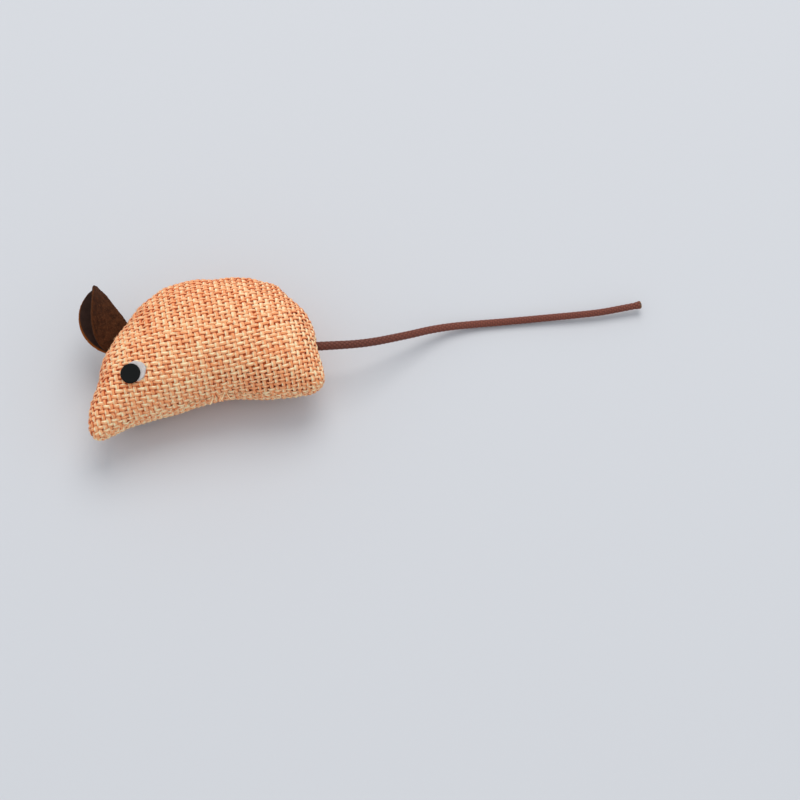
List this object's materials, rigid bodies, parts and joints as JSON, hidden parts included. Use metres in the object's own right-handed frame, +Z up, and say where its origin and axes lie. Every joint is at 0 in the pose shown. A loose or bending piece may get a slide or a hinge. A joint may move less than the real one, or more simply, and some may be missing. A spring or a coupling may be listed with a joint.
{
  "type": "catnip mouse",
  "caption": "Stuffed burlap cat toy shaped as a mouse lying on its side, with a folded felt ear, glued disc eyes and a cord tail.",
  "frame": {"origin": "centre of the mouse's underside as it lies on its side, without the tail, on the surface it lies on", "axes": "+X from nose to tail, +Y from belly to back, +Z up through the side that faces up"},
  "size_m": [0.1511, 0.0438, 0.0253],
  "materials": {
    "burlap": "coarse plain weave, matt",
    "stuffing": "loose fibre",
    "catnip": "dry crushed herb",
    "thread": "twisted sewing thread",
    "felt": "matt felt",
    "eye": "matt",
    "glue": "milky, smooth",
    "cord": "braided satin"
  },
  "bodies": {
    "mouse_body": {"upper_panel": "burlap", "lower_panel": "burlap", "stuffing_front": "stuffing", "stuffing_rear": "stuffing", "catnip_fill": "catnip", "needle_thread": "thread", "bobbin_thread": "thread", "closing_thread": "thread", "ear_seam_tab": "felt", "eye_upper": "eye", "eye_lower": "eye", "eye_glue_upper": "glue", "eye_glue_lower": "glue", "tail_seam_end": "cord"},
    "ear": {"ear": "felt"},
    "tail_root": {"tail_root": "cord"},
    "tail": {"tail_cord": "cord"}
  },
  "joints": [
    {"name": "ear_fold", "type": "hinge", "parent": "mouse_body", "child": "ear", "pos_m": [-0.02137, 0.00497, 0.0124], "axis": [0.6447, 0.7644, 0], "range_deg": [-30, 40]},
    {"name": "tail_swing", "type": "hinge", "parent": "mouse_body", "child": "tail_root", "pos_m": [0.03102, -0.00763, 0.0124], "axis": [0, 0, 1], "range_deg": [-45, 45]},
    {"name": "tail_lift", "type": "hinge", "parent": "tail_root", "child": "tail", "pos_m": [0.04053, -0.00842, 0.01134], "axis": [-0.0831, -0.9965, 0], "range_deg": [0, 75]}
  ]
}
